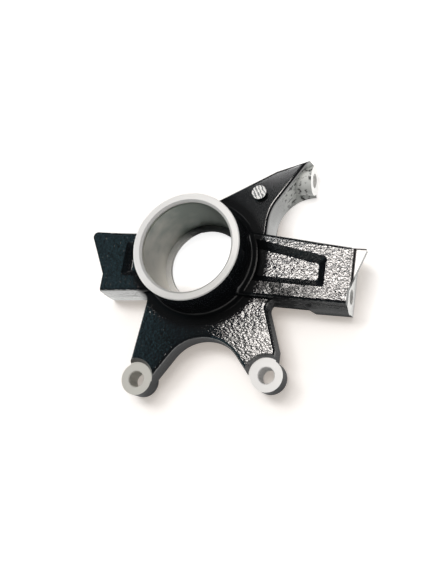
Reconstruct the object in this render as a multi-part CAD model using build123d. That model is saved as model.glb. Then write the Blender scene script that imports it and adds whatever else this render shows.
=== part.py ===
from build123d import *
from math import acos, atan2, cos, degrees, hypot, radians, sin, tan
import os

# Front steering knuckle of a light off-road vehicle, cast in one piece in aluminium.
# +Z points outboard along the wheel bearing axis, and the origin is the centre of the bearing.
# X runs along the line of the two ball joints: +X is the lower ball joint, -X the upper one.
# -Y carries the two brake caliper ears, +Y the steering arm. All sizes are in millimetres.

# wheel bearing seat, bored from the front down to a shoulder ring
bearing_diameter = 62.0
bearing_width = 40.0
rim_radius = 36.8
rim_lip = 2.4
rim_chamfer = 0.6
mouth_chamfer = 1.4
circlip_width = 2.2
circlip_depth = 1.6
shoulder_hole_diameter = 54.0
shoulder_thickness = 3.2
seal_recess_diameter = 60.0
notch_width = 8.0
notch_depth = 1.7
notch_angle = 116.0

# levels and general sizes of the casting, whose mould halves part at parting_z
# through is longer than the casting, for cuts that go right past it, and touch is how close
# an edge has to be to a surface to count as lying on it
back_z = -29.0
parting_z = -17.0
plate_z = -1.0
steering_z = -3.5
web_z = -6.0
web_thickness = 13.5
draft = 3.0
edge_radius = 2.5
root_radius = 4.5
through = 200.0
touch = 0.01

# ball joint arms, each with a boss below its plate that carries the stud
stud_hole_diameter = 10.2
stud_wall = 15.5
stud_line_y = -16.0
stud_lean = 4.0
stud_boss_radius = 11.8
stud_boss_length = 24.0
stud_boss_taper = 9.0
stud_boss_narrowing = 4.5
lower_stud_x = 104.2
upper_stud_x = 71.5
nut_slot_width = 14.6
nut_slot_height = 17.0
nut_slot_length = 12.0
nut_slot_corner = 2.5
nut_slot_wall_inset = 0.5

lower_arm_root_top_y = 25.6
lower_arm_end_top_y = 12.6
lower_arm_root_low_y = -23.8
lower_arm_end_low_y = -25.6
upper_arm_root_top_y = 18.0
upper_arm_end_top_y = 16.4
upper_arm_root_low_y = -23.5
upper_arm_end_low_y = -30.5

# the horn beyond each stud face, a thin wedge that guards the ball joint's boot
lower_horn_reach = 8.8
upper_horn_reach = 15.0
horn_low_y = -14.5
horn_sink = 12.0
horn_heel_sink = 2.0
horn_heel_drop = 4.0
lower_horn_top_margin = 0.2
upper_horn_top_margin = 1.0
horn_thickness = 6.0
horn_step = 0.8
lower_horn_corner = 0.8
upper_horn_corner = 3.5

# shallow pockets in the front of the arms
pocket_depth = 5.0
pocket_hub_gap = 3.9
pocket_floor_slope = 44.0
pocket_corner = 3.0
pocket_floor_radius = 1.0
lower_pocket_end_x = 88.0
lower_pocket_root_top_y = 23.5
lower_pocket_end_top_y = 5.9
lower_pocket_root_low_y = -12.4
lower_pocket_end_low_y = -14.7
upper_pocket_end_x = 56.0
upper_pocket_top_y = 8.8
upper_pocket_low_y = -16.0

# brake caliper ears, on one circle about the bearing axis, and the web that carries them
ear_pitch_radius = 92.8
ear_bisector = -81.95
ear_half_angle = 29.45
ear_radius = 10.9
ear_face_z = -10.0
ear_thickness = 14.5
ear_hole_diameter = 10.6
ear_hole_chamfer = 0.5
spot_face_margin = 0.7
spot_face_slope = 30.0
arch_radius = 28.7
arch_pitch_radius = 84.3
arch_angle = -80.7
leg_inner_reach = 10.0
left_leg_outer_reach = 7.1
left_leg_root = (-33.6, -10.0)
right_leg_root = (44.6, -10.0)
leg_corner_radius = 5.0
web_left_reach = 47.0
web_right_reach = 62.0

# steering arm, whose tie rod stud runs along X through a boss at its tip
tie_hole_diameter = 10.2
tie_boss_radius = 10.2
tie_boss_length = 10.0
tie_boss_taper = 12.0
tie_boss_narrowing = 6.0
tie_face_x = 70.4
tie_y = 66.2
tie_lean = 4.0
tie_wall = 15.0
tie_nut_face_radius = 8.8
tie_nut_face_reach = 12.0
steering_root_angle = 115.4
steering_root_sink = 4.0
steering_knee = (46.0, 67.2)
steering_nose = (69.6, 76.2)
steering_throat = (46.3, 37.4)
steering_throat_radius = 30.0
gusset_slope = 35.0
gusset_radius = 27.1
gusset_centre = (73.0, 30.5)
pad_x = 37.0
pad_y = 48.9
pad_radius = 5.0
pad_height = 3.5

# worked out from the sizes above
bore_radius = bearing_diameter / 2
seat_top_z = bearing_width / 2
shoulder_z = -bearing_width / 2
rim_z = seat_top_z + circlip_width + rim_lip
web_back_z = web_z - web_thickness
hub_parting_radius = rim_radius + (rim_z - parting_z) * tan(radians(draft))
ear_back_z = ear_face_z - ear_thickness


def polar(radius, angle):
    """Point of the XY plane at a radius and an angle in degrees."""
    return (radius * cos(radians(angle)), radius * sin(radians(angle)))


def plan(*points):
    """Flat outline through a ring of points, whichever way round they run."""
    area = sum(a[0] * b[1] - b[0] * a[1] for a, b in zip(points, points[1:] + points[:1]))
    ring = points if area > 0 else points[::-1]
    return make_face(Polyline(*ring, close=True))


def drafted(outline, front, back):
    """Cast slab: an outline on the parting plane, drawn both ways with draft to its front and back."""
    section = Plane.XY.offset(parting_z) * outline
    front_half = extrude(section, front - parting_z, taper=draft)
    back_half = mirror(extrude(section, parting_z - back, taper=draft), Plane.XY.offset(parting_z))
    return front_half + back_half


def draft_inset(z):
    """How far a drafted wall has come in from the parting plane at a height z."""
    return abs(z - parting_z) * tan(radians(draft))


def rounded_at(body, z, radius):
    """Rounds every edge that lies in the plane at height z."""
    edges = [e for e in body.edges() if abs((e @ 0).Z - z) < touch and abs((e @ 0.5).Z - z) < touch]
    return fillet(edges, radius)


def hub():
    """Outer form of the bearing housing, a round drum with draft."""
    return Rot(0, 0, 90) * drafted(Circle(hub_parting_radius), rim_z, back_z)


def on_hub(point):
    """Whether a point lies on the outer wall of the bearing housing."""
    wall = hub_parting_radius - draft_inset(point.Z)
    return abs(hypot(point.X, point.Y) - wall) < 2 * touch


def rooted(limb, limb_back_z):
    """Joins a limb to the bearing housing, with a fillet along the line where the two meet."""
    joined = limb + hub()
    seam = []
    for edge in joined.edges():
        along = [edge @ t for t in (0, 0.3, 0.6, 1)]
        level = max(p.Z for p in along) - min(p.Z for p in along) < touch
        kept_sharp = level and min(abs(along[0].Z - z) for z in (parting_z, limb_back_z, rim_z)) < touch
        if all(on_hub(p) for p in along) and not kept_sharp:
            seam.append(edge)
    return fillet(seam, root_radius)


def boss(face_x, side, y, z, lean, radius, length, taper, narrowing):
    """Round boss that ends at a machined face and tapers back into the arm that carries it."""
    profile = plan((0, -edge_radius), (radius, -edge_radius), (radius, length),
                   (radius - narrowing, length + taper), (0, length + taper))
    turned = revolve(Plane.XZ * profile, Axis.Z)
    return Pos(face_x, y, z) * Rot(0, -side * (90 - lean), 0) * turned


def end_cut(face_x, side, z, lean):
    """Everything beyond a machined end face, which leans towards the front by a few degrees."""
    block = Box(through, through, through, align=(Align.MIN, Align.CENTER, Align.CENTER))
    return Pos(face_x, 0, z) * Rot(0, -side * lean, 0) * Rot(0, 0, 90 - side * 90) * block


def arm_outline(side, root_top, end_top, root_low, end_low, end_x):
    """Plan of a ball joint arm at the parting plane."""
    return plan((0, root_top), (side * end_x, end_top), (side * end_x, end_low), (0, root_low))


def lower_outline():
    """Plan of the lower arm, drawn past its stud face, which is cut later."""
    return arm_outline(1, lower_arm_root_top_y, lower_arm_end_top_y,
                       lower_arm_root_low_y, lower_arm_end_low_y, lower_stud_x + horn_sink)


def upper_outline():
    """Plan of the upper arm, drawn past its stud face, which is cut later."""
    return arm_outline(-1, upper_arm_root_top_y, upper_arm_end_top_y,
                       upper_arm_root_low_y, upper_arm_end_low_y, upper_stud_x + horn_sink)


def horn(side, face_x, reach, top_y, corner):
    """Thin wedge at the front of an arm's end, cut back at a slant to the stud face."""
    back_x = side * (face_x - horn_sink)
    low_y = horn_low_y - horn_heel_drop
    outline = plan((back_x, top_y), (side * (face_x + reach), top_y),
                   (side * (face_x - horn_heel_sink), low_y), (back_x, low_y))
    outline = fillet(outline.vertices().sort_by(lambda v: -side * v.X)[0], corner)
    return extrude(Plane.XY.offset(plate_z - horn_step) * outline, horn_step - horn_thickness)


def pocket(side, root_top, end_top, root_low, end_low, end_x):
    """Shallow pocket with sloped walls, which runs in from the hub and stops short of the stud boss."""
    outline = arm_outline(side, root_top, end_top, root_low, end_low, end_x)
    cutter = mirror(extrude(outline, pocket_depth, taper=pocket_floor_slope), Plane.XY)
    sloped = [e for e in cutter.edges()
              if abs((e @ 0).Z - (e @ 1).Z) > touch and abs((e @ 0).X) > end_x / 2]
    cutter = fillet(sloped, pocket_corner)
    floor = [e for e in cutter.edges() if max((e @ t).Z for t in (0, 0.5, 1)) < touch - pocket_depth]
    cutter = fillet(floor, pocket_floor_radius)
    inner_radius = hub_parting_radius - draft_inset(plate_z) + pocket_hub_gap
    return Pos(0, 0, plate_z) * (cutter - Cylinder(inner_radius, through))


def slot_wall(side, face_x):
    """Thickens the wall beside the nut slot, just inside the boss's widest line and down to the back."""
    start_x = side * (face_x - stud_boss_length - stud_boss_taper)
    full_x = side * (face_x - stud_boss_length)
    end_x = side * (face_x + horn_sink)
    low_y = stud_line_y - stud_boss_radius + nut_slot_wall_inset
    outline = plan((start_x, stud_line_y), (start_x, low_y + stud_boss_narrowing), (full_x, low_y),
                   (end_x, low_y), (end_x, stud_line_y))
    wedge = extrude(outline, parting_z - back_z, taper=draft)
    return Pos(0, 0, parting_z) * mirror(wedge, Plane.XY)


def ball_joint_arm(side, outline, face_x, wedge):
    """One arm: drafted plate, stud boss, machined end and horn."""
    plate = rounded_at(drafted(outline, plate_z, back_z), plate_z, edge_radius)
    body = rooted(plate, back_z)
    body = body + boss(side * face_x, side, stud_line_y, parting_z, stud_lean, stud_boss_radius,
                       stud_boss_length, stud_boss_taper, stud_boss_narrowing)
    return body + slot_wall(side, face_x) - end_cut(side * face_x, side, parting_z, stud_lean) + wedge


def stud_seat(side, face_x):
    """Tool for the ball joint's stud: a hole through the end wall and a slot behind it for the nut."""
    stud_axis = Pos(side * face_x, stud_line_y, parting_z) * Rot(0, side * (90 - stud_lean), 0)
    hole = stud_axis * Cylinder(stud_hole_diameter / 2, 2 * stud_wall + nut_slot_length)
    slot = Box(nut_slot_length, nut_slot_width, through, align=(Align.MAX, Align.CENTER, Align.MAX))
    slot = Rot(0, 0, 90 - side * 90) * fillet(slot.edges().filter_by(Axis.Z), nut_slot_corner)
    return hole + Pos(side * (face_x - stud_wall), stud_line_y, parting_z + nut_slot_height / 2) * slot


def lower_arm():
    """Arm on the +X side, for the lower ball joint."""
    top_y = lower_arm_end_top_y - lower_horn_top_margin
    wedge = horn(1, lower_stud_x, lower_horn_reach, top_y, lower_horn_corner)
    return ball_joint_arm(1, lower_outline(), lower_stud_x, wedge)


def lower_pocket():
    """Tool for the pocket in the lower arm, which narrows with the arm."""
    return pocket(1, lower_pocket_root_top_y, lower_pocket_end_top_y,
                  lower_pocket_root_low_y, lower_pocket_end_low_y, lower_pocket_end_x)


def upper_arm():
    """Arm on the -X side, for the upper ball joint."""
    top_y = upper_arm_end_top_y - upper_horn_top_margin
    wedge = horn(-1, upper_stud_x, upper_horn_reach, top_y, upper_horn_corner)
    return ball_joint_arm(-1, upper_outline(), upper_stud_x, wedge)


def upper_pocket():
    """Tool for the short pocket in the upper arm."""
    return pocket(-1, upper_pocket_top_y, upper_pocket_top_y,
                  upper_pocket_low_y, upper_pocket_low_y, upper_pocket_end_x)


def tangent_from(point, centre, radius, side):
    """Where the line from a point touches a circle, on its left (+1) or right (-1) seen from the point."""
    dx, dy = centre[0] - point[0], centre[1] - point[1]
    bearing = degrees(atan2(dy, dx)) + side * degrees(acos(radius / hypot(dx, dy))) + 180
    offset = polar(radius, bearing)
    return (centre[0] + offset[0], centre[1] + offset[1])


def crossing_tangent(arch, ear, side):
    """Points where a leg's inner edge leaves the arch and where it passes the middle of the ear."""
    dx, dy = ear[0] - arch[0], ear[1] - arch[1]
    turn = degrees(acos((arch_radius + leg_inner_reach) / hypot(dx, dy)))
    normal = polar(1, degrees(atan2(dy, dx)) + side * turn)
    leave = (arch[0] + arch_radius * normal[0], arch[1] + arch_radius * normal[1])
    reach = (ear[0] - leg_inner_reach * normal[0], ear[1] - leg_inner_reach * normal[1])
    return leave, reach


def ear_places():
    """Centres of the left and the right ear."""
    return [polar(ear_pitch_radius, ear_bisector + turn) for turn in (-ear_half_angle, ear_half_angle)]


def web_outline():
    """Plan of the web with its two legs, the arch between them and the rounded corners at the arms."""
    left_ear, right_ear = ear_places()
    arch = polar(arch_pitch_radius, arch_angle)
    right_toe = tangent_from(right_leg_root, right_ear, ear_radius, -1)
    left_toe = tangent_from(left_leg_root, left_ear, left_leg_outer_reach, 1)
    left_leave, left_reach = crossing_tangent(arch, left_ear, -1)
    right_leave, right_reach = crossing_tangent(arch, right_ear, 1)
    legs = plan(left_leg_root, left_toe, left_reach, left_leave,
                right_leave, right_reach, right_toe, right_leg_root)
    legs = legs - Pos(*arch) * Circle(arch_radius)
    arms = lower_outline() + upper_outline()
    whole = legs + arms
    own = legs.vertices() + arms.vertices()
    corners = [v for v in whole.vertices() if all((v.center() - w.center()).length > touch for w in own)]
    whole = fillet(corners, leg_corner_radius)
    near = Rectangle(web_left_reach + web_right_reach, through, align=(Align.MIN, Align.CENTER))
    return whole & Pos(-web_left_reach, 0) * near


def web():
    """Web with its two legs, and a drafted ear at the end of each with a spot face and a through hole."""
    body = rooted(rounded_at(drafted(web_outline(), web_z, web_back_z), web_z, edge_radius), web_back_z)
    spot_radius = ear_radius + spot_face_margin
    spot_top_radius = spot_radius + ear_thickness * tan(radians(spot_face_slope))
    hole_radius = ear_hole_diameter / 2
    for place in ear_places():
        spot = Pos(*place, ear_face_z) * Cone(spot_radius, spot_top_radius, ear_thickness,
                                              align=(Align.CENTER, Align.CENTER, Align.MIN))
        ear = Cylinder(ear_radius, ear_thickness, align=(Align.CENTER, Align.CENTER, Align.MAX))
        body = body + Pos(*place, ear_face_z) * ear
        body = body - spot
    for place in ear_places():
        hole = Cylinder(hole_radius, ear_thickness)
        mouth = Cone(hole_radius, hole_radius + 2 * ear_hole_chamfer, 2 * ear_hole_chamfer)
        middle = (ear_face_z + ear_back_z) / 2
        body = body - Pos(*place, middle) * hole
        body = body - Pos(*place, ear_face_z) * mouth
    return body


def steering_outline():
    """Plan of the steering arm's plate, which narrows to a nose over the tie rod boss."""
    root = polar(hub_parting_radius - steering_root_sink, steering_root_angle)
    outline = plan((0, 0), root, steering_knee, steering_nose, steering_throat, (steering_throat[0], 0))
    corner = outline.vertices().sort_by_distance((steering_throat[0], steering_throat[1], 0))[0]
    return fillet(corner, steering_throat_radius)


def gusset():
    """Foot of the steering arm, whose sloped wall swings out wide to reach under the tie rod boss."""
    far_x = tie_face_x + 3 * tie_boss_radius
    body = plan((0, 0), (steering_throat[0], 0), (far_x, gusset_centre[1]), (far_x, tie_y), steering_knee)
    outline = body - Pos(*gusset_centre) * Circle(gusset_radius)
    return Pos(0, 0, back_z) * extrude(outline, 2 * tie_boss_radius, taper=gusset_slope)


def steering_arm():
    """Steering arm: drafted plate, a gusset below it, the tie rod boss at its tip and a machined pad."""
    plate = rounded_at(drafted(steering_outline(), steering_z, back_z), steering_z, edge_radius)
    plate = rooted(plate, back_z)
    tie_z = back_z + tie_boss_radius
    body = plate + gusset()
    body = body + boss(tie_face_x, 1, tie_y, tie_z, tie_lean, tie_boss_radius, tie_boss_length,
                       tie_boss_taper, tie_boss_narrowing)
    body = body - end_cut(tie_face_x, 1, tie_z, tie_lean)
    stud_axis = Pos(tie_face_x, tie_y, tie_z) * Rot(0, 90 - tie_lean, 0)
    body = body - stud_axis * Cylinder(tie_hole_diameter / 2, 2 * tie_wall + nut_slot_length)
    nut_face = Cylinder(tie_nut_face_radius, tie_nut_face_reach,
                        align=(Align.CENTER, Align.CENTER, Align.MAX))
    body = body - stud_axis * Pos(0, 0, -tie_wall) * nut_face
    pad = Cylinder(pad_radius, pad_height, align=(Align.CENTER, Align.CENTER, Align.MIN))
    return body + Pos(pad_x, pad_y, steering_z) * pad


def bore_cutter():
    """Turned form of the bearing seat: mouth, circlip groove, seat, shoulder ring and seal recess."""
    hole = shoulder_hole_diameter / 2
    recess = seal_recess_diameter / 2
    ring_back_z = shoulder_z - shoulder_thickness
    groove_top_z = seat_top_z + circlip_width
    groove_radius = bore_radius + circlip_depth
    profile = plan(
        (0, rim_z + mouth_chamfer), (bore_radius + 2 * mouth_chamfer, rim_z + mouth_chamfer),
        (bore_radius, rim_z - mouth_chamfer), (bore_radius, groove_top_z), (groove_radius, groove_top_z),
        (groove_radius, seat_top_z), (bore_radius, seat_top_z), (bore_radius, shoulder_z),
        (hole, shoulder_z), (hole, ring_back_z), (recess, ring_back_z), (recess, back_z - through),
        (0, back_z - through))
    return revolve(Plane.XZ * profile, Axis.Z)


def rim_bevel():
    """Ring that takes the sharp outer corner off the rim."""
    inner = rim_radius - rim_chamfer
    outer = rim_radius + rim_chamfer
    return revolve(Plane.XZ * plan((inner, rim_z), (outer, rim_z), (outer, rim_z - 2 * rim_chamfer)), Axis.Z)


def puller_notch():
    """Small flat notch in the shoulder ring that lets a puller reach the bearing's outer ring."""
    inner = shoulder_hole_diameter / 2 + notch_depth
    tool = Box(notch_depth + notch_width, notch_width, through, align=(Align.MAX, Align.CENTER, Align.MAX))
    return Rot(0, 0, notch_angle) * Pos(inner, 0, shoulder_z + touch) * tool


def below_back():
    """Everything behind the plane that the casting rests on."""
    block = Box(2 * through, 2 * through, through, align=(Align.CENTER, Align.CENTER, Align.MAX))
    return Pos(0, 0, back_z) * block


def knuckle():
    """The whole casting with its machined bore, stud seats and back."""
    body = lower_arm() + upper_arm() + web() + steering_arm()
    body = body - lower_pocket() - upper_pocket()
    body = body - stud_seat(1, lower_stud_x) - stud_seat(-1, upper_stud_x)
    return body - rim_bevel() - bore_cutter() - puller_notch() - below_back()


part = knuckle()
os.makedirs("parts", exist_ok=True)
export_step(part, "parts/knuckle_casting.step")
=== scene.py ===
# %% [markdown]
# # A steering knuckle in Blender
#
# A steering knuckle is the casting that carries a front wheel's bearing. Two arms go to the
# ball joints of the suspension, a third takes the tie rod, and two ears carry the brake caliper.
# It is one piece of aluminium, painted black as it comes from the mould and then machined
# where other parts seat on it. So this lesson has one piece and two finishes, gloss paint over
# a rough cast skin and bare cut metal, with painted shade and painted light laid over them and a
# grey painted reflection of the floor at the steering arm's tip. Most of the work is in where each
# one goes.
#
# The shape comes ready from the CAD model. Everything is in metres, in the same frame as that
# model: the origin is the centre of the wheel bearing, and +Z points out of its mouth.

import math

import bmesh
import bpy
import numpy as np
from mathutils import Matrix, Vector


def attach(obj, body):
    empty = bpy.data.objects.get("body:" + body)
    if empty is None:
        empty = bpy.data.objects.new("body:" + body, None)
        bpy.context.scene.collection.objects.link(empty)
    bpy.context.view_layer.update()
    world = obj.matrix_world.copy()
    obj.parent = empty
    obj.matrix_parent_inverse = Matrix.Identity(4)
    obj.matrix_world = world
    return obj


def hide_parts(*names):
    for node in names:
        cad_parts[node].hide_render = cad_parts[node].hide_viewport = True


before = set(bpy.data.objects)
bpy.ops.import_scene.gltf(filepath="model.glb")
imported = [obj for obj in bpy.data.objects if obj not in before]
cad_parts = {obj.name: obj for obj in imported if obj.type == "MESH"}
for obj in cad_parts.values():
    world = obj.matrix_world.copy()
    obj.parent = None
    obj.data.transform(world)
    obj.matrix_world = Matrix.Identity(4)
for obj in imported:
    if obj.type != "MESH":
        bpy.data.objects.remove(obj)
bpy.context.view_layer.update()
knuckle_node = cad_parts["knuckle_casting"]
print("nodes:", sorted(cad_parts), "faces:", len(knuckle_node.data.polygons))

# %% [markdown]
# ## Sizes that the finishes need
#
# A finish is painted by place, so it needs the places of the machined faces. They are the same
# sizes as in the CAD model, written here in millimetres because that is how a drawing gives
# them, and turned to metres by `mm`.

# %% The machined faces
mm = 0.001

bore_radius = 31.0
groove_depth = 1.6
rim_z = 24.6
rim_chamfer = 0.6
shoulder_z = -20.0
seat_top_z = 20.0
back_z = -29.0

ear_pitch_radius = 92.8
ear_bisector = -81.95
ear_half_angle = 29.45
ear_radius = 10.9
ear_face_z = -10.0
ear_hole_radius = 5.3

stud_hole_radius = 5.1
stud_lean = 4.0
lower_stud = (104.2, -16.0, -17.0)
upper_stud = (-71.5, -16.0, -17.0)
tie_stud = (70.4, 66.2, -18.8)
tie_wall = 15.0
tie_nut_radius = 8.8
horn_back_z = -7.0
horn_step_x = 105.4

pad = (37.0, 48.9, 0.0)
pad_radius = 5.0

bearing_axis = (0, 0)

ear_places = [
    (
        ear_pitch_radius * math.cos(math.radians(ear_bisector + turn)),
        ear_pitch_radius * math.sin(math.radians(ear_bisector + turn)),
    )
    for turn in (-ear_half_angle, ear_half_angle)
]
print("ears at", [tuple(round(v, 1) for v in place) for place in ear_places], "mm")

# %% [markdown]
# ## One smooth skin
#
# The CAD model arrives as loose triangles. Each corner is there as often as it has faces, so
# Blender sees no shared edges and nothing can be smoothed across them. We leave that mesh
# alone and work on a copy. Merging the doubled corners closes the skin, then edges sharper
# than 30 degrees are marked sharp. The Weighted Normal modifier makes a big flat face win
# over the narrow fillet beside it, which keeps machined faces looking flat.

# %% Copy, merge and smooth the casting
casting = knuckle_node.copy()
casting.data = knuckle_node.data.copy()
casting.name = "casting_skin"
bpy.context.scene.collection.objects.link(casting)

skin = bmesh.new()
skin.from_mesh(casting.data)
bmesh.ops.remove_doubles(skin, verts=skin.verts, dist=0.002 * mm)
skin.to_mesh(casting.data)
skin.free()
if casting.data.has_custom_normals:
    with bpy.context.temp_override(object=casting, active_object=casting):
        bpy.ops.mesh.customdata_custom_splitnormals_clear()
casting.data.shade_smooth()
casting.data.set_sharp_from_angle(angle=math.radians(30))
flatten = casting.modifiers.new("flat faces stay flat", "WEIGHTED_NORMAL")
flatten.keep_sharp = True
flatten.weight = 90
print("corners:", len(knuckle_node.data.vertices), "->", len(casting.data.vertices))

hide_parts("knuckle_casting")
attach(casting, "root")

# %% [markdown]
# ## Writing shader maths as Python
#
# A node tree for masks is hard to read as boxes and wires, but easy as a formula. The class
# below wraps one output socket. Its operators add Math nodes, so `1 - mask` or `a * b + c`
# build the nodes for us. `node` adds any other node: first its settings, then its sockets, each
# by its name with `_` for a space, or as `i` and its number where names are shared.


# %% The socket class
class Value:
    """One output socket. Operators on it add Math nodes and give back a new Value."""

    def __init__(self, tree, socket):
        self.tree, self.socket = tree, socket

    def node(self, kind, settings=None, out=0, **inputs):
        """Adds a node of any kind, its settings first, and gives back one of its outputs."""
        made = self.tree.nodes.new(kind)
        for name, setting in (settings or {}).items():
            setattr(made, name, setting)
        for name, source in inputs.items():
            key = int(name[1:]) if name[0] == "i" and name[1:].isdigit() else name.replace("_", " ")
            if isinstance(source, Value):
                self.tree.links.new(source.socket, made.inputs[key])
            else:
                made.inputs[key].default_value = source
        return Value(self.tree, made.outputs[out])

    def math(self, operation, *others):
        """Adds a Math node with this socket first and the others after it."""
        inputs = {f"i{n}": source for n, source in enumerate((self,) + others)}
        return self.node("ShaderNodeMath", {"operation": operation}, **inputs)

    def __add__(self, other):
        return self.math("ADD", other)

    def __sub__(self, other):
        return self.math("SUBTRACT", other)

    def __rsub__(self, other):
        return (self * -1) + other

    def __mul__(self, other):
        return self.math("MULTIPLY", other)

    def __pow__(self, other):
        return self.math("POWER", other)

    def __abs__(self):
        return self.math("ABSOLUTE")

    __radd__ = __add__
    __rmul__ = __mul__

    def either(self, other):
        """The larger of two masks."""
        return self.math("MAXIMUM", other)

    def rise(self, start, end):
        """0 below start and 1 above end, with a soft step between; start may be the larger one."""
        return self.node(
            "ShaderNodeMapRange", {"interpolation_type": "SMOOTHSTEP"}, i0=self, i1=start, i2=end
        )

    def under(self, limit, soft=0.1):
        """1 where the value is under a limit."""
        return self.rise(limit + soft, limit - soft)

    def over(self, limit, soft=0.1):
        """1 where the value is over a limit."""
        return self.rise(limit - soft, limit + soft)

    def colour(self, low, high):
        """Mixes two colours, either of them a colour or a Value, by this mask."""
        return self.node(
            "ShaderNodeMix", {"data_type": "RGBA"}, out=2, i0=self, i6=low, i7=high
        )


def rgb(red, green, blue):
    """A colour as a socket takes it, with a full alpha."""
    return (red, green, blue, 1.0)


print("socket class ready")

# %% [markdown]
# ## Where the tool has cut
#
# A machined face is flat or round, so a short formula finds it. Each mask below is 1 on the cut
# face and 0 elsewhere, from Object coordinates in millimetres:
#
# - the bearing seat with its groove is what lies close enough to the bearing axis, and the rim's
#   face is all that lies as high as it,
# - an ear's face is a disc at one height, and its hole a short distance from one axis,
# - a stud's end face is a slab across the stud's own leaning axis.
#
# A mask reaches a little past its face, so that no paint shows at the face's edge.

# %% Places and distances
def places(tree):
    """Object coordinates of a material in millimetres, as one vector and as Values x, y and z."""
    start = Value(tree, tree.nodes.new("ShaderNodeTexCoord").outputs["Object"])
    scaled = start.node("ShaderNodeVectorMath", {"operation": "SCALE"}, i0=start, Scale=1 / mm)
    return scaled, [start.node("ShaderNodeSeparateXYZ", out=n, i0=scaled) for n in range(3)]


def around(x, y, centre):
    """Distance from an upright axis through a centre, in millimetres."""
    return ((x - centre[0]) ** 2 + (y - centre[1]) ** 2) ** 0.5


def stud_frame(x, y, z, stud, side):
    """Distance beyond a stud's end face, and distance from its axis, which leans to the front."""
    run, rise = side * math.cos(math.radians(stud_lean)), math.sin(math.radians(stud_lean))
    beyond = (x - stud[0]) * run + (z - stud[2]) * rise
    across = (x - stud[0]) * -rise + (z - stud[2]) * run
    return beyond, (across**2 + (y - stud[1]) ** 2) ** 0.5


print("places in millimetres, studs leaning", stud_lean, "degrees")

# %% Masks of the cut faces
face_margin = 0.3
end_margin = 0.2
bore_margin = 0.5
ear_margin = 0.8
ear_hole_margin = 0.9
end_face_start = -0.12
end_face_step = 0.04
thin_step = 0.05
pad_top_start = -0.25
tie_side_y = 48


def bore_mask(x, y, z):
    """The seat with its groove, and everything at the height of the rim's face."""
    inside = around(x, y, bearing_axis).under(bore_radius + groove_depth + bore_margin)
    return inside.either(z.over(rim_z - rim_chamfer, thin_step))


def ear_mask(x, y, z):
    """The round faces of both ears and the walls of their holes."""
    cut = None
    for place in ear_places:
        away = around(x, y, place)
        face = away.under(ear_radius + ear_margin)
        face = face * abs(z - ear_face_z).under(face_margin, thin_step)
        found = face.either(away.under(ear_hole_radius + ear_hole_margin))
        cut = found if cut is None else cut.either(found)
    return cut


def stud_mask(x, y, z):
    """End faces and holes of the three studs, below the painted horns that guard two of them."""
    lower_beyond, lower_away = stud_frame(x, y, z, lower_stud, 1)
    upper_beyond, upper_away = stud_frame(x, y, z, upper_stud, -1)
    tie_beyond, tie_away = stud_frame(x, y, z, tie_stud, 1)
    hole = stud_hole_radius + face_margin
    below_horn = z.under(horn_back_z - face_margin)
    tie_side = y.over(tie_side_y)
    lower = lower_beyond.over(end_face_start, end_face_step) * below_horn
    lower = lower.either(lower_away.under(hole) * x.over(0))
    upper = upper_beyond.over(end_face_start, end_face_step) * below_horn
    upper = upper.either(upper_away.under(hole) * x.under(0))
    nut_face = tie_away.under(tie_nut_radius + end_margin)
    nut_face = nut_face * tie_beyond.under(end_margin - tie_wall)
    tie = tie_beyond.over(end_face_start, end_face_step) * tie_side
    tie = tie.either(tie_away.under(hole) * tie_side).either(nut_face * tie_side)
    return lower.either(upper).either(tie)


def pad_mask(x, y, z):
    """The small locating pad's top."""
    return around(x, y, pad).under(pad_radius + face_margin) * z.over(pad_top_start, thin_step)


def cut_masks(x, y, z):
    """Every cut place by its name, and all of them together as bare."""
    cut = {"bore": bore_mask(x, y, z), "ears": ear_mask(x, y, z), "pad": pad_mask(x, y, z)}
    cut["bare"] = cut["bore"].either(cut["ears"]).either(stud_mask(x, y, z)).either(cut["pad"])
    ledge_top = shoulder_z + face_margin
    cut["seat"] = cut["bore"] * z.under(seat_top_z + end_margin) * z.over(ledge_top)
    cut["ledge"] = cut["bore"] * z.under(ledge_top)
    return cut


print("masks: bore with seat and ledge, ears, studs, pad")

# %% [markdown]
# ## The cast skin
#
# Sand leaves a pebbled skin on a casting, a fraction of a millimetre high. Paint flows over
# it and rounds it off but doesn't hide it. In gloss black there is almost no colour to see, so
# the whole look is what the skin mirrors: each pebble tips the mirror a few degrees, and the
# lamp breaks up into bright and dark specks. That is why the bump below has three sizes of
# grain. It is gone on the steering arm and nearly gone round the housing and on the horn. In
# the middle of the part and far down the legs it is about half as high as elsewhere.
#
# Cut metal is the opposite: pale, with a broad sheen and fine rings left by the tool.

# %% Grain, tool marks and scratches
grain_stretch = (0.55, 1.0, 1.0)
pebble_scale, wave_scale, sand_scale = 0.85, 0.28, 1.1
pebble_height, wave_height, sand_height = 0.36, 0.26, 0.05
ring_waves, turn_waves, mark_height = 14, 9, 0.003
steering_arm_y = (20, 12)
housing_radius = 46
middle_share = 0.48
right_of_middle_x = (8, 40)
left_of_middle_x = (-8, -24)
legs_y = (-38, -48)


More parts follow.
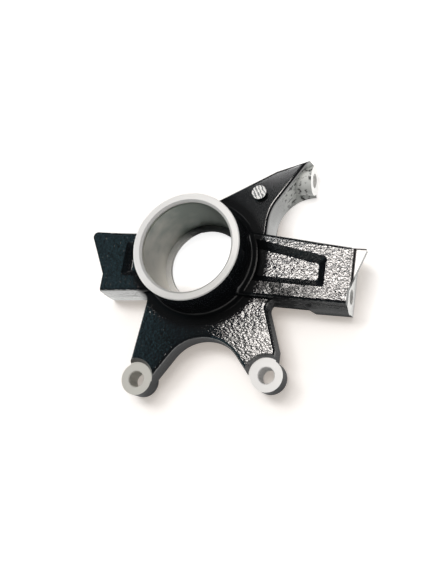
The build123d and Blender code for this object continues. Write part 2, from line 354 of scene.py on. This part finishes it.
def cast_height(where, x, y, z):
    """Height of the cast skin in millimetres: pebbles, waves and sand, each place with its share."""
    stretched = where.node("ShaderNodeMapping", i0=where, Scale=grain_stretch)
    pebbles = where.node(
        "ShaderNodeTexNoise", Vector=stretched, Scale=pebble_scale, Detail=1.2, Roughness=0.5
    )
    waves = where.node(
        "ShaderNodeTexNoise", Vector=stretched, Scale=wave_scale, Detail=1.0, Roughness=0.5
    )
    smooth_cells = {"feature": "SMOOTH_F1"}
    sand = where.node(
        "ShaderNodeTexVoronoi", smooth_cells, Vector=where, Scale=sand_scale, Smoothness=0.6
    )
    arm_share = y.rise(*steering_arm_y)
    horn_share = 1 - x.over(horn_step_x, 0.5) * z.over(horn_back_z) * 0.95
    housing_share = 1 - around(x, y, bearing_axis).under(housing_radius, 3.0) * 0.85
    side_share = x.rise(*right_of_middle_x) * 0.52 + middle_share
    side_share = side_share + x.rise(*left_of_middle_x) * 0.45
    leg_share = 1 - y.rise(*legs_y) * 0.45
    rough = pebbles * pebble_height + waves * wave_height + sand * sand_height
    return rough * arm_share * horn_share * housing_share * side_share * leg_share


def tool_marks(x, y, z):
    """Height of the cutter's marks: rings about the bearing axis, and turns down a bore."""
    rings = (around(x, y, bearing_axis) * ring_waves).math("SINE") * 0.5
    turns = (z * turn_waves).math("SINE") * 0.5
    return rings * mark_height + turns * mark_height


def pad_scratches(where, x, y):
    """Dark diagonal strokes left on the pad by the gauge that was held against it."""
    wander = where.node("ShaderNodeTexNoise", Vector=where, Scale=0.5, Detail=2.0, Roughness=0.5)
    strokes = (x * 2.6 + y * 1.5 + wander * 9).math("SINE")
    return strokes.rise(0.0, 0.6) * 0.9


for grain, scale in {"pebbles": pebble_scale, "waves": wave_scale, "sand": sand_scale}.items():
    print(grain, round(1 / scale, 1), "mm apart")

# %% [markdown]
# ## Colour of the cut metal
#
# Cut aluminium is nearly white, but it isn't the same all over: besides a random tone, it has
# painted shade and painted light. The left ear is painted greyer as shade, and so is the low side
# of the rim. In the seat the near side is painted warm and pale as if lit, while the far side is
# painted grey as shade, with a slow noise to make the change uneven, and the ledge behind it is
# painted dark at the back as shade. Each of these is one mix over the last, so their order matters.

# %% Pale metal with painted shade and painted light
left_ear_x = -15
cut_metal = rgb(0.92, 0.91, 0.89), rgb(0.97, 0.96, 0.945)
# Painted shade and painted light on the cut metal, place by place.
left_ear_shade = rgb(0.76, 0.74, 0.68)
low_rim_shade = rgb(0.72, 0.715, 0.695)
seat_lit_and_shaded = rgb(0.98, 0.96, 0.89), rgb(0.46, 0.52, 0.48)
ledge_lit_and_shaded = rgb(0.95, 0.94, 0.92), rgb(0.03, 0.035, 0.035)
scratch_colour = rgb(0.05, 0.07, 0.08)


def metal_colour(where, x, y, grime, cut):
    """Pale aluminium, painted darker place by place as shade, and paler on the seat's near side as
    painted light.
    """
    cloud = where.node("ShaderNodeTexNoise", Vector=where, Scale=0.07, Detail=2.5, Roughness=0.5)
    # Painted light and shade in the seat: pale and warm on the near side, grey on the far side.
    seat_shade_side = (x * 0.6 + y + cloud * 70 - 35).rise(-26, 26)
    seat_light_and_shade = seat_shade_side.colour(*seat_lit_and_shaded)
    # Painted shade at the back of the ledge, pale at its front.
    ledge_shade_side = (x * 0.2 + y).rise(10, 26)
    ledge_light_and_shade = ledge_shade_side.colour(*ledge_lit_and_shaded)
    # Painted shade on the left ear and on the low side of the rim.
    left_ear = cut["ears"] * x.under(left_ear_x)
    low_rim = cut["bore"] * (x * 0.5 - y).rise(6, 40)

    metal = grime.colour(*cut_metal)
    metal = left_ear.colour(metal, left_ear_shade)
    metal = low_rim.colour(metal, low_rim_shade)
    metal = cut["seat"].colour(metal, seat_light_and_shade)
    metal = cut["ledge"].colour(metal, ledge_light_and_shade)
    return (pad_scratches(where, x, y) * cut["pad"]).colour(metal, scratch_colour)


print("metal colour: left ear, low rim, seat and ledge are darker")

# %% [markdown]
# ## Painted shade, and the painted reflection at the tip
#
# Two places break the gloss. A dull black that mirrors nothing is painted shade: at the foot of
# the housing, on a thin strip of the right arm, and in the band and along the rim beside the horn.
# The steering arm's tip is painted grey with dark pits, a painted reflection of the pale floor that
# its side walls mirror. Both are shaders of their own, laid over the main one by a Mix Shader,
# because the paint's IOR is one number and can't be mixed.

# %% Places of painted shade and of the tip's painted reflection
foot_radius, foot_half_width, foot_fade = 43, 5.6, 3.2
foot_top_z = 8
strip_top_y, strip_low_y = (-11, -15), -27
strip_start_x, strip_end_x = (42, 46), (68, 90)
band_half_width = 1.0
horn_top_y, horn_low_y = 11.3, -13
tip_start, tip_from_x, tip_back_z = (62, 76), 40, -6.0
foot_share, strip_share, band_share = 0.96, 0.85, 0.9
# The painted shade: a dull black with a low IOR, so that it mirrors next to nothing.
shade_black, shade_black_ior = rgb(0.004, 0.0045, 0.005), 1.15
# The tip's painted reflection of the pale floor: dark pits in a pale grey.
pits_and_reflected_floor = rgb(0.02, 0.022, 0.022), rgb(0.62, 0.63, 0.60)


def painted_shade_mask(x, y, z, mottle, painted):
    """Painted shade: the housing's foot, a strip of the right arm, and the band and rim beside the
    horn.
    """
    foot = abs(around(x, y, bearing_axis) - foot_radius).under(foot_half_width, foot_fade)
    foot = foot * z.under(foot_top_z, 3.0) * painted
    strip = y.rise(*strip_top_y) * y.over(strip_low_y, 1.5) * x.rise(*strip_start_x)
    strip = strip * (1 - x.rise(*strip_end_x) * 0.8)
    strip = strip * (mottle.rise(0.36, 0.50) * 0.6 + 0.4) * painted
    rim = y.over(horn_top_y, 0.4) * x.over(horn_step_x)
    band = abs(x - horn_step_x).under(band_half_width, 0.3).either(rim)
    band = band * z.over(horn_back_z) * y.over(horn_low_y) * painted
    return (foot * foot_share).either(strip * strip_share).either(band * band_share)


def tip_mask(x, y, z):
    """The steering arm's tip, below its front face."""
    outwards = x * 0.7 + y * 0.7
    return outwards.rise(*tip_start) * x.over(tip_from_x) * z.under(tip_back_z, 1.0)


def shade_black_shader(where):
    """Dull black that mirrors next to nothing, used as painted shade."""
    return where.node(
        "ShaderNodeBsdfPrincipled",
        Base_Color=shade_black,
        Roughness=0.5,
        IOR=shade_black_ior,
    )


def tip_floor_reflection(where, bump):
    """Grey with dark pits: a painted reflection of the pale floor in the tip's side walls."""
    pits = where.node("ShaderNodeTexNoise", Vector=where, Scale=0.30, Detail=3.0, Roughness=0.6)
    grey = pits.rise(0.36, 0.50).colour(*pits_and_reflected_floor)
    return where.node("ShaderNodeBsdfPrincipled", Base_Color=grey, Roughness=0.45, Normal=bump)


# Painted shade at the foot, the strip and the band; a painted reflection at the tip.
print("dull paint: foot, strip and band; bare cast metal: tip")

# %% [markdown]
# ## All finishes in one material
#
# The part is one piece, so it has one material. Its main shader goes from paint to cut metal by
# the mask bare. The IOR is 2.4, where real paint has about 1.5. A mirror that strong shows the
# lamp's specks clearly under a lamp that is still weak enough for the pale metal. The paint is
# a little less glossy on the steering arm and on the right leg.

# %% The material
paint_ior = 2.4
black_paint = rgb(0.003, 0.0035, 0.004), rgb(0.007, 0.0085, 0.010)
gloss_roughness, cut_roughness = 0.07, 0.48
cut_metallic, seat_more_metallic = 0.52, 0.30
arm_gloss_y = (16, 26)
leg_gloss_y = (-30, -44)
leg_gloss_x = (14, 30)


def painted_casting():
    """Black gloss paint over cast aluminium, cut metal by the masks, painted shade, and a painted
    reflection at the tip.
    """
    made = bpy.data.materials.new("painted_casting")
    made.use_nodes = True
    tree = made.node_tree
    shader = tree.nodes["Principled BSDF"]
    where, (x, y, z) = places(tree)
    cut = cut_masks(x, y, z)
    bare, seat = cut["bare"], cut["seat"]
    painted = 1 - bare

    mottle = where.node("ShaderNodeTexNoise", Vector=where, Scale=0.12, Detail=3.0, Roughness=0.6)
    grime = where.node("ShaderNodeTexNoise", Vector=where, Scale=0.35, Detail=4.0, Roughness=0.65)
    paint = mottle.colour(*black_paint)
    metal_roughness = grime * 0.12 + cut_roughness - seat * 0.22
    leg_dulling = y.rise(*leg_gloss_y) * x.rise(*leg_gloss_x) * 0.09
    paint_roughness = gloss_roughness + y.rise(*arm_gloss_y) * 0.05 + leg_dulling
    height = cast_height(where, x, y, z) * painted + tool_marks(x, y, z) * bare
    bump = where.node("ShaderNodeBump", Strength=1.0, Distance=mm, Height=height)

    for name, source in {
        "Base Color": bare.colour(paint, metal_colour(where, x, y, grime, cut)),
        "Roughness": bare * metal_roughness + painted * paint_roughness,
        "Metallic": bare * (seat * seat_more_metallic + cut_metallic),
        "Normal": bump,
    }.items():
        tree.links.new(source.socket, shader.inputs[name])
    shader.inputs["IOR"].default_value = paint_ior

    gloss = Value(tree, shader.outputs[0])
    # Painted shade: dull black laid over the gloss at the foot, the strip and beside the horn.
    dull = painted_shade_mask(x, y, z, mottle, painted)
    coat = where.node("ShaderNodeMixShader", i0=dull, i1=gloss, i2=shade_black_shader(where))
    # Painted reflection: the grey tip laid over both.
    tip = tip_mask(x, y, z) * painted
    whole = where.node("ShaderNodeMixShader", i0=tip, i1=coat, i2=tip_floor_reflection(where, bump))
    tree.links.new(whole.socket, tree.nodes["Material Output"].inputs["Surface"])
    return made


casting.data.materials.clear()
casting.data.materials.append(painted_casting())
print("materials:", [m.name for m in casting.data.materials])

# %% [markdown]
# ## The floor
#
# The part lies on white paper. Paper that only has the lamps' light would need too much of it to
# turn white, so it also glows a little, by the kind of ray that asks. A ray from the camera sees a
# weak warm glow near the part, which leaves room for the shadow and gives it a painted beige, and
# a stronger one further away. The strong glow through the bore, behind the right arm and past the
# horn is painted light that lifts the part's shadow there. A mirror ray sees dark paper, a painted
# shade in the gloss side walls that mirror the floor next to them, with glowing patches on the left,
# between the right arm and the steering arm and past the horn, which are painted reflections in
# those walls. Light that bounces off takes none of the glow.

# %% Floor
through_bore_radius = 36
far_floor = (150, 260)
paper_lit = rgb(0.88, 0.88, 0.88)
# In mirrors the paper is darker and glows in patches: painted shade and painted reflections in the
# side walls.
paper_in_mirrors = rgb(0.40, 0.40, 0.40)
# Glow for camera rays: warm near the part, which tints the shadow, and strong where it is painted
# light.
glow_seen = rgb(0.30, 0.26, 0.225), rgb(0.80, 0.80, 0.80)
glow_in_mirrors = rgb(0.05, 0.05, 0.05), rgb(1.25, 1.25, 1.22)
no_glow = rgb(0, 0, 0)


def floor_sheet(half, height):
    """A flat square sheet: corners at plus and minus half, all at one height."""
    corners = np.array([(-1, -1, 0), (1, -1, 0), (1, 1, 0), (-1, 1, 0)], float) * half
    corners[:, 2] = height
    mesh = bpy.data.meshes.new("floor")
    mesh.from_pydata(corners.tolist(), [], [(0, 1, 2, 3)])
    made = bpy.data.objects.new("floor", mesh)
    bpy.context.scene.collection.objects.link(made)
    return made


def rays(tree, *names):
    """Light Path's answers to what kind of ray has come, one Value for each name."""
    path = tree.nodes.new("ShaderNodeLightPath")
    return [Value(tree, path.outputs[name]) for name in names]


def mirrored_glow(x, y):
    """The floor's glow in mirrors, painted reflections for the side walls: bright on the left,
    between the arms and past the horn.
    """
    past_horn = x.rise(104, 110) * 0.72
    beside = x.rise(-42, -52).either(x.rise(22, 30) * y.rise(12, 20)).either(past_horn)
    return beside.colour(*glow_in_mirrors)


def seen_glow(x, y):
    """The floor's glow seen straight: weak and warm near the part, a painted beige for the shadow,
    and stronger away from it.
    """
    out = around(x, y, bearing_axis)
    # Painted light: the glow through the bore, behind the right arm and past the horn lifts the
    # part's shadow.
    through_bore = out.under(through_bore_radius, 3.0) * (y - x * 0.2).rise(-19, -3)
    behind = (y.rise(12, 42) * x.rise(40, 60)).either(x.rise(106, 128))
    strong = through_bore.either(behind * 0.5).either(out.rise(*far_floor))
    return strong.colour(*glow_seen)


def floor_material():
    """White paper whose glow and colour follow the kind of ray that meets it."""
    made = bpy.data.materials.new("white_paper")
    made.use_nodes = True
    tree = made.node_tree
    shader = tree.nodes["Principled BSDF"]
    names = ("Is Camera Ray", "Is Glossy Ray", "Is Transmission Ray")
    camera_ray, glossy, through = rays(tree, *names)
    shader.inputs["Roughness"].default_value = 0.9
    shader.inputs["Specular IOR Level"].default_value = 0.0
    shader.inputs["Emission Strength"].default_value = 1.0
    x, y, _ = places(tree)[1]
    in_mirrors = glossy.colour(no_glow, mirrored_glow(x, y))
    glow = camera_ray.either(through).colour(in_mirrors, seen_glow(x, y))
    paper = glossy.colour(paper_lit, paper_in_mirrors)
    tree.links.new(paper.socket, shader.inputs["Base Color"])
    tree.links.new(glow.socket, shader.inputs["Emission Color"])
    return made


floor = floor_sheet(half=3.0, height=back_z * mm)
floor.data.materials.append(floor_material())
print("floor at", back_z, "mm")

# %% [markdown]
# ## The room
#
# The world is three rooms in one. The camera sees plain white. The part is lit by an even grey.
# In its gloss it mirrors a dark ceiling and pale walls low down, brighter on the right and
# missing behind the steering arm. High on the left is a row of cool strips like a window's
# blinds, which give the black paint its blue.

# %% Room
blind_count, blind_slant = 40, 15
white, even_grey = rgb(1, 1, 1), rgb(0.40, 0.405, 0.41)
dark_and_cool = rgb(0.015, 0.018, 0.02), rgb(0.26, 0.49, 0.57)
left_and_right_wall = rgb(0.22, 0.24, 0.23), rgb(1.28, 1.235, 1.19)


def studio_room():
    """White to the camera, even grey as light, and a dark ceiling with pale walls in mirrors."""
    world = bpy.data.worlds.new("studio")
    bpy.context.scene.world = world
    world.use_nodes = True
    tree = world.node_tree
    back = tree.nodes["Background"]
    camera_ray, glossy = rays(tree, "Is Camera Ray", "Is Glossy Ray")
    way = Value(tree, tree.nodes.new("ShaderNodeTexCoord").outputs["Generated"])
    across, along, up = (way.node("ShaderNodeSeparateXYZ", out=n, i0=way) for n in range(3))
    blinds = (along * blind_count + across * blind_slant).math("SINE") * 1.6 - 0.5
    cool = across.rise(-0.34, -0.50) * up.rise(0.3, 0.7) * blinds
    ceiling = cool.colour(*dark_and_cool)
    horizon = up.rise(0.45, 0.0) * along.rise(0.65, 0.25)
    walls = across.rise(-0.5, 0.9).colour(*left_and_right_wall)
    unseen = glossy.colour(even_grey, horizon.colour(ceiling, walls))
    tree.links.new(camera_ray.colour(unseen, white).socket, back.inputs["Color"])
    back.inputs["Strength"].default_value = 1.0


studio_room()
print("room set")

# %% [markdown]
# ## The lamps
#
# A black gloss part is lit by what it mirrors. The key softbox hangs a metre above the part, and
# its mirror image is what makes the bright grain on the right arm and the right leg. A small
# weak panel does the same for the steering arm. The left panel only adds light to the metal and
# the floor. It is hidden from mirrors, because its image would draw a white line along the left
# leg's rounded edge.

# %% Lamps
aim_point = (0.02, 0.0, 0.0)


def softbox(name, centre, size, radiance, tint=(1, 1, 1)):
    """A rectangular lamp that faces the part. Its power is radiance times pi times its area."""
    lamp = bpy.data.lights.new(name, "AREA")
    lamp.shape = "RECTANGLE"
    lamp.size, lamp.size_y = size
    lamp.color = tint
    lamp.energy = radiance * math.pi * size[0] * size[1]
    made = bpy.data.objects.new(name, lamp)
    made.location = centre
    made.rotation_mode = "QUATERNION"
    made.rotation_quaternion = (Vector(aim_point) - Vector(centre)).to_track_quat("-Z", "Y")
    bpy.context.scene.collection.objects.link(made)
    return made


warm = (1.0, 0.95, 0.91)
key = softbox("key_softbox", (-0.045, 0.20, 1.0), size=(0.41, 0.28), radiance=8.5, tint=warm)
tip = softbox("tip_panel", (-0.17, 0.65, 1.0), size=(0.30, 0.14), radiance=4.0)
left = softbox("left_panel", (-0.55, 0.35, 1.15), size=(0.45, 0.45), radiance=10.0)
left.visible_glossy = False
print("lamps:", key.name, tip.name, left.name)

# %% [markdown]
# ## The camera
#
# The camera looks down into the bearing's mouth from a little to the right of it, so that the
# seat, the groove and the side walls all show. Three unit vectors say how it is turned.

# %% Camera
image_width = 428
focal_pixels = 640.0
sensor_width = 36.0

right = Vector((0.94028, 0.15211, -0.30452))
up = Vector((-0.06781, 0.96037, 0.27034))
forward = Vector((-0.33357, 0.23355, -0.91334))
camera_place = Vector((158.27, -119.20, 391.42)) * mm

lens = bpy.data.cameras.new("camera")
lens.sensor_fit = "HORIZONTAL"
lens.sensor_width = sensor_width
lens.lens = focal_pixels * sensor_width / image_width
lens.clip_start, lens.clip_end = 0.01, 50.0
camera = bpy.data.objects.new("camera", lens)
turn = Matrix((right, up, -forward)).transposed().to_4x4()
camera.matrix_world = Matrix.Translation(camera_place) @ turn
bpy.context.scene.collection.objects.link(camera)
bpy.context.scene.camera = camera
bpy.context.scene.view_settings.view_transform = "Standard"
print("lens", round(lens.lens, 2), "mm, camera at", [round(v, 3) for v in camera.location], "m")
